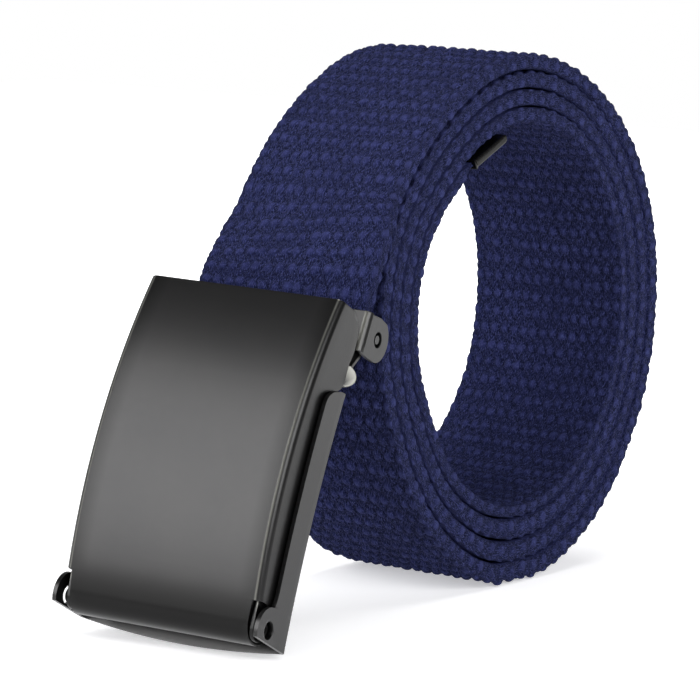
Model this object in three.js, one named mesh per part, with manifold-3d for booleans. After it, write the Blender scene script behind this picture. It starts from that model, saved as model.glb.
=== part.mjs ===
// A rolled web belt with a flip-top buckle, standing on its coil.
// Millimetres, +Z up. X runs across the webbing and the buckle is on the -Y side.
import * as THREE from 'three';
import { mergeVertices } from 'three/addons/utils/BufferGeometryUtils.js';
import Module from 'manifold-3d';

const wasm = await Module();
wasm.setup();

// Driving dimensions: the webbing and its coil
const WEBBING_WIDTH = 38;
const WEBBING_THICKNESS = 3;
const WEBBING_EDGE = 0.7; // how far the rounded edges reach in
const COIL_RADIUS = 53;
const COIL_CENTRE_Y = 7.5;
const RESTING_FLAT = 0.35; // how far the cloth is pressed flat where it rests
const STEPS_PER_TURN = 40;
const LIFT_OFF_TURN = 0.1; // where the strap leaves the coil for the buckle
const LEAD_STEPS = 8; // stations between the coil and the clamp
const LIP_STEPS = 40; // places along the base's lower edge that are tried for its lowest point

// Driving dimensions: the buckle, measured in its own frame.
// There x is its width, y its depth with the front at -y, z its length, 0 the hinge.
const SHEET = 0.8; // pressed steel
const FIT = 0.3; // running clearance between pieces
const COVER_OVERLAP = 1; // how far the cover reaches past each edge of the webbing
const COVER_WIDTH = WEBBING_WIDTH + 2 * COVER_OVERLAP;
const COVER_BOTTOM = 4;
const COVER_TOP = 62.75;
const COVER_FACE_RADIUS = 112;
const COVER_END_DEPTH = -3.4; // the front face at its top and bottom
const FLANGE_DEPTH = 8;
const FLANGE_TAIL = 4.4; // where the long stretch of the flange starts
const FLANGE_ROUND = 4; // how far its corners are rounded
const FLANGE_HEAD = 46; // where the deeper head of the flange starts
const FLANGE_HEAD_DEPTH = 5.6; // how deep the head reaches behind the hinge line
const FINGER_TAB_RADIUS = 2.3;
const FINGER_TAB_ROOT = 0.8; // how deep the tab starts inside the flange
const FINGER_TAB_HEIGHT = 51.2;
const FINGER_TAB_FLARE = THREE.MathUtils.degToRad(40);
const CAM_RADIUS = 2.3; // the rolled lower end of the cover
const CAM_REACH = 4.8; // how far the gripping edge stands behind the hinge
const CAM_RISE = 2; // how far the gripping edge stands above the roll's underside
const CAM_INSET = 3.5; // how much narrower the roll is at each side, clear of the rivets
const CAM_TAPER = 1.6; // how far the cover's lower corners are cut back to the roll
const LUG_RADIUS = 2.7;
const BASE_WALL_HEIGHT = 6.8;
const BASE_BOTTOM = -2.2;
const BASE_TOP = 47.4;
const BASE_FACE_RADIUS = 260;
const BASE_CREST_HEIGHT = 42; // where the floor's curve stands furthest forward
const BASE_CREST_DEPTH = 4.75; // the back of the floor at its crest
const BASE_SHOULDER = 4; // how far the top corners of the side walls are rounded
const BASE_LIP = 1.5; // how far the floor's lower edge bows down
const EAR_RADIUS = 4.3;
const RIVET_RADIUS = 1.4;
const RIVET_BORE = 0.7;
const RIVET_HEAD = 2.1;
const CLAMP_PIN_HEIGHT = 61.6;
const CLAMP_PIN_DEPTH = 14.6;
const CLAMP_PIN_RADIUS = 0.85;
const CLAMP_EAR_RADIUS = 4.4;
const CLAMP_FRONT_REACH = 6.2; // how far the jaw's front stands before the pin
const CLAMP_BELOW_PIN = 4.5;
const CLAMP_ABOVE_PIN = 3.4;
const BARREL_RADIUS = 1.8; // the ramp's end, rolled round the pin
const SEAM = 0.5; // how far sheets that are one piece run into each other

// Driving dimensions: how the buckle stands, and the metal end of the strap
const CLAMP_SHIFT = 3.6; // how far the clamp stands to the right of the coil's middle
const CLAMP_TO_COIL = 2.8; // clearance between the clamp's ears and the coil
const BUCKLE_YAW = THREE.MathUtils.degToRad(11);
const BUCKLE_LEAN = THREE.MathUtils.degToRad(26.3);
const BUCKLE_ROLL = THREE.MathUtils.degToRad(2.5);
const TIP_LENGTH = 13;
const TIP_SHEET = 0.6;
const TIP_TURN = 4.18; // where the metal end starts, in turns from the buckle
const TIP_CORNER = 1.2;
const TIP_SQUEEZE = 0.45; // the webbing's thickness inside the tip, as a share of the whole

// One row for each twelfth of a turn, up the front and over the top:
// the layer's outer radius as a share of COIL_RADIUS, before it is wound in,
// and the pitch of the layers as a share of WEBBING_THICKNESS.
const COIL_TABLE = [
  { radius: 0.884, pitch: 1.06 },
  { radius: 0.938, pitch: 1.08 },
  { radius: 0.981, pitch: 1.14 },
  { radius: 1.055, pitch: 1.2 },
  { radius: 1.06, pitch: 1.14 },
  { radius: 1.053, pitch: 1.26 },
  { radius: 1.03, pitch: 1.28 },
  { radius: 1.036, pitch: 1.3 },
  { radius: 1.068, pitch: 1.46 },
  { radius: 1.06, pitch: 1.54 },
  { radius: 0.955, pitch: 1.28 },
  { radius: 0.875, pitch: 1.12 },
];

// Solids and meshes

function solidOf(geometry) {
  const bare = geometry.index ? geometry.toNonIndexed() : geometry.clone();
  bare.deleteAttribute('normal');
  bare.deleteAttribute('uv');
  const merged = mergeVertices(bare, 1e-4);
  return new wasm.Manifold(new wasm.Mesh({
    numProp: 3,
    vertProperties: new Float32Array(merged.attributes.position.array),
    triVerts: new Uint32Array(merged.index.array),
  }));
}

function geometryOf(solid) {
  const mesh = solid.getMesh();
  const geometry = new THREE.BufferGeometry();
  geometry.setAttribute('position', new THREE.BufferAttribute(mesh.vertProperties, 3));
  geometry.setIndex(new THREE.BufferAttribute(mesh.triVerts, 1));
  geometry.computeVertexNormals();
  return geometry;
}

function joined(geometries) {
  return geometries.map(solidOf).reduce((whole, piece) => whole.add(piece));
}

function steel(color, roughness) {
  return new THREE.MeshStandardMaterial({ color, roughness, metalness: 0.9 });
}

function part(name, geometry, material) {
  const mesh = new THREE.Mesh(geometry, material);
  mesh.name = name;
  return mesh;
}

// A side profile drawn as (depth, height) and pushed across the width from x0 to x1.
function acrossWidth(shape, x0, x1, curveSegments = 8) {
  const geometry = new THREE.ExtrudeGeometry(shape, { depth: x1 - x0, bevelEnabled: false, curveSegments });
  geometry.translate(0, 0, x0);
  const sideways = new THREE.Matrix4().makeBasis(
    new THREE.Vector3(0, 1, 0), new THREE.Vector3(0, 0, 1), new THREE.Vector3(1, 0, 0));
  return geometry.applyMatrix4(sideways);
}

// A front outline drawn as (width, height) and pushed from depth y0 to y1.
function throughDepth(shape, y0, y1) {
  const settings = { depth: y1 - y0, bevelEnabled: false, curveSegments: 12 };
  const geometry = new THREE.ExtrudeGeometry(shape, settings);
  geometry.rotateX(Math.PI / 2);
  return geometry.translate(0, y1, 0);
}

function rod(radius, x0, x1, depth, height, sides = 16) {
  const geometry = new THREE.CylinderGeometry(radius, radius, x1 - x0, sides);
  geometry.rotateZ(Math.PI / 2);
  return geometry.translate((x0 + x1) / 2, depth, height);
}

// The coil's spiral

function tableValue(column, turn) {
  const place = (turn - Math.floor(turn)) * COIL_TABLE.length;
  const row = Math.floor(place);
  const at = (k) => COIL_TABLE[(row + k + COIL_TABLE.length) % COIL_TABLE.length][column];
  const [a, b, c, d] = [at(-1), at(0), at(1), at(2)];
  const t = place - row;
  return b + 0.5 * t * (c - a + t * (2 * a - 5 * b + 4 * c - d + t * (3 * (b - c) + d - a)));
}

function outerRadius(turn) {
  const wound = turn * tableValue('pitch', turn) * WEBBING_THICKNESS;
  return tableValue('radius', turn) * COIL_RADIUS - wound;
}

function coilDrop(turn) {
  return -outerRadius(turn) * Math.sin(2 * Math.PI * turn);
}

function lowestDrop() {
  const turns = Array.from({ length: STEPS_PER_TURN }, (_, i) => i / STEPS_PER_TURN);
  return Math.max(...turns.map(coilDrop));
}

const COIL_CENTRE_Z = lowestDrop() - RESTING_FLAT;

const TIP_HALF_HEIGHT = TIP_SQUEEZE * WEBBING_THICKNESS / 2 + FIT + TIP_SHEET;

function coilPoint(turn) {
  const angle = 2 * Math.PI * turn;
  const radius = outerRadius(turn) - WEBBING_THICKNESS / 2;
  const y = COIL_CENTRE_Y - radius * Math.cos(angle);
  const z = COIL_CENTRE_Z + radius * Math.sin(angle);
  return new THREE.Vector3(0, y, Math.max(z, WEBBING_THICKNESS / 2));
}

function coilHeading(turn) {
  const reach = 0.25 / STEPS_PER_TURN;
  return coilPoint(turn + reach).sub(coilPoint(turn - reach)).normalize();
}

function tipHeading() {
  const start = coilPoint(TIP_TURN);
  const centre = new THREE.Vector3(0, COIL_CENTRE_Y, COIL_CENTRE_Z);
  const swept = TIP_LENGTH / (2 * Math.PI * start.distanceTo(centre));
  return coilPoint(TIP_TURN + swept).sub(start).normalize();
}

// The buckle's frame

const buckleTurn = new THREE.Matrix4().makeRotationZ(BUCKLE_YAW)
  .multiply(new THREE.Matrix4().makeRotationX(-BUCKLE_LEAN))
  .multiply(new THREE.Matrix4().makeRotationY(BUCKLE_ROLL));

function turned(x, depth, height) {
  return new THREE.Vector3(x, depth, height).applyMatrix4(buckleTurn);
}

const CLAMP_HALF_WIDTH = WEBBING_WIDTH / 2 + FIT + SHEET;
const CAM_HALF_WIDTH = COVER_WIDTH / 2 - CAM_INSET;
const RAMP_HALF_WIDTH = CLAMP_HALF_WIDTH - SHEET - FIT;
const CLAMP_FRONT_DEPTH = CLAMP_PIN_DEPTH - CLAMP_FRONT_REACH;
const CLAMP_BOTTOM = CLAMP_PIN_HEIGHT - CLAMP_BELOW_PIN;
const CLAMP_TOP = CLAMP_PIN_HEIGHT + CLAMP_ABOVE_PIN;
const BASE_HALF_WIDTH = COVER_WIDTH / 2 + FIT + SHEET;
const STRAP_DEPTH = CLAMP_FRONT_DEPTH + SHEET + FIT + WEBBING_THICKNESS / 2;
const RAMP_SLOPE = (CLAMP_PIN_DEPTH - BASE_CREST_DEPTH) / (CLAMP_PIN_HEIGHT - BASE_TOP);

// The depth of the ramp's front face at a height.
function rampFront(height) {
  return BASE_CREST_DEPTH - SHEET + RAMP_SLOPE * (height - BASE_TOP);
}

function coverFront(height) {
  const middle = (COVER_BOTTOM + COVER_TOP) / 2;
  const half = (COVER_TOP - COVER_BOTTOM) / 2;
  const rise = (half * half - (height - middle) ** 2) / (2 * COVER_FACE_RADIUS);
  return COVER_END_DEPTH - rise;
}

function floorBack(height) {
  return BASE_CREST_DEPTH + (height - BASE_CREST_HEIGHT) ** 2 / (2 * BASE_FACE_RADIUS);
}

// The height of the floor's bowed lower edge.
function lipHeight(x) {
  return BASE_BOTTOM - BASE_LIP * (1 - (x / BASE_HALF_WIDTH) ** 2);
}

// The buckle stands on its lip, close in front of the coil.
function hingePlace() {
  const lip = Array.from({ length: LIP_STEPS + 1 }, (_, i) => BASE_HALF_WIDTH * (2 * i / LIP_STEPS - 1));
  const lowest = Math.min(...lip.map((x) => turned(x, floorBack(lipHeight(x)), lipHeight(x)).z));
  const earBack = turned(CLAMP_HALF_WIDTH, CLAMP_PIN_DEPTH + CLAMP_EAR_RADIUS, CLAMP_PIN_HEIGHT);
  const clampTop = turned(0, STRAP_DEPTH, CLAMP_TOP);
  const coilFront = COIL_CENTRE_Y - outerRadius(1);
  return new THREE.Vector3(CLAMP_SHIFT - clampTop.x, coilFront - CLAMP_TO_COIL - earBack.y, -lowest);
}

const HINGE = hingePlace();

function fromBuckle(x, depth, height) {
  return turned(x, depth, height).add(HINGE);
}

// The strap's fixed end stops where the ramp closes the clamp behind it.
const STRAP_END = BASE_TOP
  + (STRAP_DEPTH + WEBBING_THICKNESS / 2 + 2 * FIT - BASE_CREST_DEPTH + SHEET) / RAMP_SLOPE;

// The strap, one closed band from the clamp round the coil to the metal end

function webbingSection() {
  const halfWidth = WEBBING_WIDTH / 2;
  const half = WEBBING_THICKNESS / 2;
  const inner = halfWidth - WEBBING_EDGE;
  const flat = half - WEBBING_EDGE;
  return [
    [halfWidth, -flat], [halfWidth, flat], [inner, half], [-inner, half],
    [-halfWidth, flat], [-halfWidth, -flat], [-inner, -half], [inner, -half],
  ];
}

// The stations along the strap: a centre, the direction of its width, and its thickness
// as a share of the whole, which is less where the metal tip squeezes it.
function strapStations() {
  const buckleWidth = turned(1, 0, 0);
  const coilWidth = new THREE.Vector3(1, 0, 0);
  const clampTop = fromBuckle(0, STRAP_DEPTH, CLAMP_TOP + WEBBING_THICKNESS);
  const stations = [{ centre: fromBuckle(0, STRAP_DEPTH, STRAP_END), width: buckleWidth }];
  const leaving = turned(0, 0, 1);
  const joining = coilHeading(LIFT_OFF_TURN);
  const start = coilPoint(LIFT_OFF_TURN);
  const span = clampTop.distanceTo(start) / 3;
  const lead = new THREE.CubicBezierCurve3(
    clampTop, clampTop.clone().addScaledVector(leaving, span),
    start.clone().addScaledVector(joining, -span), start);
  for (let i = 0; i < LEAD_STEPS; i += 1) {
    const share = i / LEAD_STEPS;
    const untwisted = THREE.MathUtils.smoothstep(share, 0, 1);
    stations.push({ centre: lead.getPoint(share), width: buckleWidth.clone().lerp(coilWidth, untwisted) });
  }
  const steps = Math.round((TIP_TURN - LIFT_OFF_TURN) * STEPS_PER_TURN);
  for (let i = 0; i <= steps; i += 1) {
    const turn = LIFT_OFF_TURN + (TIP_TURN - LIFT_OFF_TURN) * i / steps;
    stations.push({ centre: coilPoint(turn), width: coilWidth });
  }
  const inTip = (reach) => coilPoint(TIP_TURN).addScaledVector(tipHeading(), reach);
  stations.at(-1).thickness = TIP_SQUEEZE;
  stations.push({ centre: inTip(TIP_LENGTH - TIP_SHEET - FIT), width: coilWidth, thickness: TIP_SQUEEZE });
  return stations;
}

// A closed band through the stations, with the section square to the way ahead.
function sweep(stations, section) {
  const positions = [];
  const index = [];
  const count = section.length;
  stations.forEach((station, i) => {
    const before = stations[Math.max(i - 1, 0)].centre;
    const after = stations[Math.min(i + 1, stations.length - 1)].centre;
    const ahead = after.clone().sub(before).normalize();
    const outward = station.width.clone().cross(ahead).normalize();
    const across = ahead.clone().cross(outward);
    const thickness = station.thickness ?? 1;
    for (const [x, y] of section) {
      const corner = station.centre.clone().addScaledVector(across, x);
      corner.addScaledVector(outward, thickness * y);
      positions.push(corner.x, corner.y, Math.max(corner.z, 0));
    }
  });
  const last = (stations.length - 1) * count;
  for (let i = 0; i < last; i += count) {
    for (let k = 0; k < count; k += 1) {
      const next = (k + 1) % count;
      index.push(i + k, i + count + next, i + next, i + k, i + count + k, i + count + next);
    }
  }
  for (let k = 1; k < count - 1; k += 1) {
    index.push(0, k, k + 1);
    index.push(last, last + k + 1, last + k);
  }
  const geometry = new THREE.BufferGeometry();
  geometry.setAttribute('position', new THREE.Float32BufferAttribute(positions, 3));
  geometry.setIndex(index);
  geometry.computeVertexNormals();
  return geometry;
}

function makeStrap() {
  const cloth = new THREE.MeshStandardMaterial({ color: '#262b57', roughness: 0.95, metalness: 0 });
  return part('strap', sweep(strapStations(), webbingSection()), cloth);
}

// The metal end, a folded cap that the strap's free end is pushed into

function makeBeltTip() {
  const height = 2 * TIP_HALF_HEIGHT;
  const width = WEBBING_WIDTH + 2 * (FIT + TIP_SHEET);
  const outline = new THREE.Shape();
  outline.moveTo(0, -height / 2);
  outline.lineTo(TIP_LENGTH - TIP_CORNER, -height / 2);
  outline.quadraticCurveTo(TIP_LENGTH, -height / 2, TIP_LENGTH, -height / 2 + TIP_CORNER);
  outline.lineTo(TIP_LENGTH, height / 2 - TIP_CORNER);
  outline.quadraticCurveTo(TIP_LENGTH, height / 2, TIP_LENGTH - TIP_CORNER, height / 2);
  outline.lineTo(0, height / 2);
  const cap = acrossWidth(outline, -width / 2, width / 2, 4);
  const pocketDepth = TIP_LENGTH - TIP_SHEET;
  const pocket = new THREE.BoxGeometry(width - 2 * TIP_SHEET, 2 * pocketDepth, height - 2 * TIP_SHEET);
  const shell = solidOf(cap).subtract(solidOf(pocket));
  const mesh = part('belt_tip', geometryOf(shell), steel('#1d1e20', 0.3));
  const heading = tipHeading();
  mesh.position.copy(coilPoint(TIP_TURN));
  mesh.rotation.x = Math.atan2(heading.z, heading.y);
  return mesh;
}

// The buckle's curved sheets

function heights(from, to, count) {
  return Array.from({ length: count + 1 }, (_, i) => from + (to - from) * i / count);
}

// Points along a curved sheet's side, shifted in depth.
function along(curve, from, to, shift, count = 12) {
  return heights(from, to, count).map((height) => new THREE.Vector2(curve(height) + shift, height));
}

function coverPlate() {
  const front = along(coverFront, COVER_BOTTOM, COVER_TOP, 0);
  const back = along(coverFront, COVER_TOP, COVER_BOTTOM, SHEET);
  return acrossWidth(new THREE.Shape([...back, ...front]), -COVER_WIDTH / 2, COVER_WIDTH / 2);
}

// The side flange: a long shallow stretch, and a deeper head with a rounded back.
function coverFlange(x0) {
  const flange = new THREE.Shape();
  const tailBack = coverFront(FLANGE_TAIL) + FLANGE_DEPTH;
  const neckBack = coverFront(FLANGE_HEAD) + FLANGE_DEPTH;
  const headBack = FLANGE_HEAD_DEPTH - FINGER_TAB_ROOT;
  flange.moveTo(coverFront(FLANGE_TAIL), FLANGE_TAIL);
  flange.lineTo(tailBack - FLANGE_ROUND, FLANGE_TAIL);
  const long = along(coverFront, FLANGE_TAIL + FLANGE_ROUND, FLANGE_HEAD - SHEET, FLANGE_DEPTH, 8);
  flange.quadraticCurveTo(tailBack, FLANGE_TAIL, long[0].x, long[0].y);
  for (const point of long) {
    flange.lineTo(point.x, point.y);
  }
  flange.quadraticCurveTo(neckBack, FLANGE_HEAD, headBack, FINGER_TAB_HEIGHT - FINGER_TAB_RADIUS);
  flange.lineTo(headBack, FINGER_TAB_HEIGHT + FINGER_TAB_RADIUS);
  const crown = headBack - 2 * SHEET;
  flange.quadraticCurveTo(FLANGE_HEAD_DEPTH + SHEET, COVER_TOP - FLANGE_ROUND, crown, COVER_TOP);
  for (const point of along(coverFront, COVER_TOP, FLANGE_TAIL, 0)) {
    flange.lineTo(point.x, point.y);
  }
  return acrossWidth(flange, x0, x0 + SHEET);
}

// A half-round tab on the flange's back edge, flared outward so that a finger can lift it.
function fingerTab(side) {
  const tab = new THREE.Shape();
  tab.moveTo(-FINGER_TAB_ROOT, -FINGER_TAB_RADIUS);
  tab.lineTo(0, -FINGER_TAB_RADIUS);
  tab.absarc(0, 0, FINGER_TAB_RADIUS, -Math.PI / 2, Math.PI / 2, false);
  tab.lineTo(-FINGER_TAB_ROOT, FINGER_TAB_RADIUS);
  const geometry = acrossWidth(tab, -SHEET / 2, SHEET / 2, 6);
  geometry.rotateZ(-side * FINGER_TAB_FLARE);
  const x = side * (COVER_WIDTH / 2 - SHEET / 2);
  return geometry.translate(x, FLANGE_HEAD_DEPTH - FINGER_TAB_ROOT, FINGER_TAB_HEIGHT);
}

// The cover's lower end, rolled back under the hinge into a gripping edge.
function coverCam() {
  const innerRadius = CAM_RADIUS - SHEET;
  const plate = coverFront(COVER_BOTTOM);
  const edge = CAM_RISE - CAM_RADIUS;
  const roll = new THREE.Shape();
  roll.moveTo(plate, COVER_BOTTOM + SEAM);
  roll.lineTo(-CAM_RADIUS, 0);
  roll.absarc(0, 0, CAM_RADIUS, Math.PI, 1.5 * Math.PI, false);
  roll.lineTo(CAM_REACH, edge);
  roll.lineTo(CAM_REACH - SHEET / 2, edge + SHEET);
  roll.lineTo(0, -innerRadius);
  roll.absarc(0, 0, innerRadius, 1.5 * Math.PI, Math.PI, true);
  roll.lineTo(plate + SHEET, COVER_BOTTOM + SEAM);
  const half = COVER_WIDTH / 2;
  const below = -2 * CAM_RADIUS;
  const outline = new THREE.Shape([
    new THREE.Vector2(-half, COVER_BOTTOM + CAM_TAPER), new THREE.Vector2(-half, COVER_BOTTOM - CAM_TAPER),
    new THREE.Vector2(-CAM_HALF_WIDTH, -SHEET), new THREE.Vector2(-CAM_HALF_WIDTH, below),
    new THREE.Vector2(CAM_HALF_WIDTH, below), new THREE.Vector2(CAM_HALF_WIDTH, -SHEET),
    new THREE.Vector2(half, COVER_BOTTOM - CAM_TAPER), new THREE.Vector2(half, COVER_BOTTOM + CAM_TAPER),
  ]);
  const sheet = solidOf(acrossWidth(roll, -half, half));
  return sheet.intersect(solidOf(throughDepth(outline, -2 * EAR_RADIUS, 2 * EAR_RADIUS)));
}

// A round lug inside each ear, hung from the cover's lower corner.
function coverLug(x0) {
  const lug = new THREE.Shape();
  lug.moveTo(coverFront(COVER_BOTTOM) + SHEET / 2, COVER_BOTTOM - SEAM);
  lug.lineTo(-LUG_RADIUS, 0);
  lug.absarc(0, 0, LUG_RADIUS, Math.PI, 2.5 * Math.PI, false);
  return acrossWidth(lug, x0, x0 + SHEET);
}

function makeCover() {
  const right = COVER_WIDTH / 2 - SHEET;
  const left = -COVER_WIDTH / 2;
  const sheets = joined([
    coverPlate(), coverFlange(right), coverFlange(left), fingerTab(1), fingerTab(-1),
    coverLug(right), coverLug(left),
  ]);
  const bore = solidOf(rod(RIVET_RADIUS + FIT, -COVER_WIDTH, COVER_WIDTH, 0, 0));
  const lugs = sheets.subtract(bore);
  return part('buckle_cover', geometryOf(lugs.add(coverCam())), steel('#5b5a5d', 0.35));
}

// The base: a curved floor, two side walls with hinge ears, and the ramp to the clamp's pin

function baseFloor() {
  const reach = BASE_BOTTOM - BASE_LIP - SHEET;
  const back = along(floorBack, reach, BASE_TOP, 0);
  const front = along(floorBack, BASE_TOP, reach, -SHEET);
  const sheet = solidOf(acrossWidth(new THREE.Shape([...back, ...front]), -BASE_HALF_WIDTH, BASE_HALF_WIDTH));
  const below = new THREE.Shape();
  const outside = BASE_HALF_WIDTH + SHEET;
  below.moveTo(-outside, reach - SHEET);
  below.lineTo(-outside, BASE_BOTTOM);
  below.lineTo(-BASE_HALF_WIDTH, BASE_BOTTOM);
  below.quadraticCurveTo(0, BASE_BOTTOM - 2 * BASE_LIP, BASE_HALF_WIDTH, BASE_BOTTOM);
  below.lineTo(outside, BASE_BOTTOM);
  below.lineTo(outside, reach - SHEET);
  return sheet.subtract(solidOf(throughDepth(below, 0, 4 * BASE_WALL_HEIGHT)));
}

function baseWall(x0) {
  const wall = new THREE.Shape();
  const footDepth = -Math.sqrt(EAR_RADIUS ** 2 - BASE_BOTTOM ** 2);
  const footAngle = Math.atan2(BASE_BOTTOM, footDepth);
  wall.moveTo(floorBack(BASE_BOTTOM), BASE_BOTTOM);
  for (const point of along(floorBack, BASE_BOTTOM, BASE_TOP, 0)) {
    wall.lineTo(point.x, point.y);
  }
  const front = along(floorBack, BASE_TOP - BASE_SHOULDER, 2 * EAR_RADIUS, -BASE_WALL_HEIGHT, 8);
  wall.quadraticCurveTo(front[0].x + SHEET, BASE_TOP, front[0].x, front[0].y);
  for (const point of front) {
    wall.lineTo(point.x, point.y);
  }
  const hollow = floorBack(EAR_RADIUS) - BASE_WALL_HEIGHT;
  wall.quadraticCurveTo(hollow, EAR_RADIUS + SHEET / 2, 0, EAR_RADIUS);
  wall.absarc(0, 0, EAR_RADIUS, Math.PI / 2, footAngle + 2 * Math.PI, false);
  return acrossWidth(wall, x0, x0 + SHEET);
}

function baseRamp() {
  const ramp = new THREE.Shape([
    new THREE.Vector2(rampFront(BASE_TOP), BASE_TOP - SEAM),
    new THREE.Vector2(rampFront(BASE_TOP) + SHEET, BASE_TOP - SEAM),
    new THREE.Vector2(CLAMP_PIN_DEPTH, CLAMP_PIN_HEIGHT - SEAM),
    new THREE.Vector2(CLAMP_PIN_DEPTH - SHEET, CLAMP_PIN_HEIGHT),
  ]);
  const half = RAMP_HALF_WIDTH;
  const barrel = rod(BARREL_RADIUS, -half, half, CLAMP_PIN_DEPTH, CLAMP_PIN_HEIGHT);
  return joined([acrossWidth(ramp, -half, half), barrel]);
}

function makeBase() {
  const walls = joined([baseWall(BASE_HALF_WIDTH - SHEET), baseWall(-BASE_HALF_WIDTH)]);
  const hinge = solidOf(rod(RIVET_RADIUS + FIT, -2 * BASE_HALF_WIDTH, 2 * BASE_HALF_WIDTH, 0, 0));
  const pin = solidOf(rod(CLAMP_PIN_RADIUS + FIT, -2 * BASE_HALF_WIDTH, 2 * BASE_HALF_WIDTH,
    CLAMP_PIN_DEPTH, CLAMP_PIN_HEIGHT));
  const frame = walls.subtract(hinge).add(baseFloor()).add(baseRamp().subtract(pin));
  return part('buckle_base', geometryOf(frame), steel('#454448', 0.35));
}

// The clamp: a folded jaw that holds the strap's fixed end against the ramp

function clampEar(x0) {
  const ear = new THREE.Shape();
  ear.moveTo(CLAMP_FRONT_DEPTH, CLAMP_BOTTOM);
  ear.lineTo(CLAMP_PIN_DEPTH, CLAMP_PIN_HEIGHT - CLAMP_EAR_RADIUS);
  ear.absarc(CLAMP_PIN_DEPTH, CLAMP_PIN_HEIGHT, CLAMP_EAR_RADIUS, -Math.PI / 2, Math.PI / 2, false);
  ear.lineTo(CLAMP_FRONT_DEPTH, CLAMP_TOP);
  return acrossWidth(ear, x0, x0 + SHEET, 10);
}

function clampPlate() {
  const plate = new THREE.Shape([
    new THREE.Vector2(CLAMP_FRONT_DEPTH, CLAMP_BOTTOM),
    new THREE.Vector2(CLAMP_FRONT_DEPTH + SHEET, CLAMP_BOTTOM),
    new THREE.Vector2(CLAMP_FRONT_DEPTH + SHEET, CLAMP_TOP),
    new THREE.Vector2(CLAMP_FRONT_DEPTH, CLAMP_TOP),
  ]);
  return acrossWidth(plate, -CLAMP_HALF_WIDTH, CLAMP_HALF_WIDTH);
}

function makeClamp() {
  const folded = joined([clampPlate(), clampEar(CLAMP_HALF_WIDTH - SHEET), clampEar(-CLAMP_HALF_WIDTH)]);
  const hole = solidOf(rod(CLAMP_PIN_RADIUS + FIT, -2 * CLAMP_HALF_WIDTH, 2 * CLAMP_HALF_WIDTH,
    CLAMP_PIN_DEPTH, CLAMP_PIN_HEIGHT));
  return part('strap_clamp', geometryOf(folded.subtract(hole)), steel('#4c4a4c', 0.35));
}

function makeClampPin() {
  const half = CLAMP_HALF_WIDTH - SHEET / 4;
  const pin = rod(CLAMP_PIN_RADIUS, -half, half, CLAMP_PIN_DEPTH, CLAMP_PIN_HEIGHT, 12);
  return part('clamp_pin', pin, steel('#2a2a2c', 0.4));
}

// A hollow rivet in each ear, with its head turned over inside the cover's lug.
function makeRivet(name, side) {
  const outer = BASE_HALF_WIDTH - SHEET / 4;
  const head = COVER_WIDTH / 2 - SHEET - FIT;
  const rim = RIVET_RADIUS - RIVET_BORE;
  const profile = [
    [RIVET_BORE, head - rim], [RIVET_HEAD, head - rim], [RIVET_HEAD, head],
    [RIVET_RADIUS, head], [RIVET_RADIUS, outer], [RIVET_BORE, outer], [RIVET_BORE, head - rim],
  ].map(([radius, across]) => new THREE.Vector2(radius, across));
  const geometry = new THREE.LatheGeometry(profile, 16);
  geometry.rotateZ(-side * Math.PI / 2);
  return part(name, geometry, steel('#2a2a2c', 0.4));
}

function makeBuckle() {
  const buckle = new THREE.Group();
  buckle.add(makeBase(), makeCover(), makeClamp(), makeClampPin());
  buckle.add(makeRivet('hinge_rivet_right', 1), makeRivet('hinge_rivet_left', -1));
  buckle.applyMatrix4(buckleTurn);
  buckle.position.copy(HINGE);
  return buckle;
}

// The whole belt, moved so that the middle of its footprint is the origin

const belt = new THREE.Group();
belt.add(makeStrap(), makeBeltTip(), makeBuckle());
belt.updateMatrixWorld(true);
const middle = new THREE.Box3().setFromObject(belt, true).getCenter(new THREE.Vector3());
belt.position.set(-middle.x, -middle.y, 0);
belt.updateMatrixWorld(true);

export default belt;
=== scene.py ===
import math

import bmesh
import bpy
import numpy as np
from mathutils import Matrix, Vector


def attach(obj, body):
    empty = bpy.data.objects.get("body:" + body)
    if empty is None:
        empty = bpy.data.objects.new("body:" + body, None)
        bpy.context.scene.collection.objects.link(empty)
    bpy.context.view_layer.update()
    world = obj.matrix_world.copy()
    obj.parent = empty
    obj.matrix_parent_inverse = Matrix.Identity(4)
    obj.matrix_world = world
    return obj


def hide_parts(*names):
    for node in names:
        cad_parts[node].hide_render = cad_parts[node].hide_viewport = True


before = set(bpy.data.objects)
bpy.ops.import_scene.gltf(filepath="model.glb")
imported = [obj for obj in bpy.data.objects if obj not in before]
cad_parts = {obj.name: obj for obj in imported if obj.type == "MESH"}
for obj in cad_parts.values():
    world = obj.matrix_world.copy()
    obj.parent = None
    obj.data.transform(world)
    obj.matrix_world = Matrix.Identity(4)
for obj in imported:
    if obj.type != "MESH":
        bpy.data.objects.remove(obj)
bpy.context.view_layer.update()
MM = 0.001

# Camera, at the height of a hand over the table and turned to the coil's open side.
# It stands 0.75 m away with a long lens.
AZIMUTH = math.radians(37.7)
ELEVATION = math.radians(8.07)
CAMERA_ROLL = math.radians(1.23)
LOOK_AT = Vector((-4.908, -4.746, 48.9)) * MM
CAMERA_DISTANCE = 0.754
LENS_MM = 196.46
SENSOR_MM = 36
back = Vector((
    math.sin(AZIMUTH) * math.cos(ELEVATION), -math.cos(AZIMUTH) * math.cos(ELEVATION), math.sin(ELEVATION)))
right = Vector((math.cos(AZIMUTH), math.sin(AZIMUTH), 0))
up = back.cross(right)
tilted_right = math.cos(CAMERA_ROLL) * right + math.sin(CAMERA_ROLL) * up
tilted_up = math.cos(CAMERA_ROLL) * up - math.sin(CAMERA_ROLL) * right
camera_data = bpy.data.cameras.new("camera")
camera_data.lens = LENS_MM
camera_data.sensor_width = SENSOR_MM
camera = bpy.data.objects.new("camera", camera_data)
bpy.context.scene.collection.objects.link(camera)
placed = Matrix((tilted_right, tilted_up, back)).transposed().to_4x4()
placed.translation = LOOK_AT + CAMERA_DISTANCE * back
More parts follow.
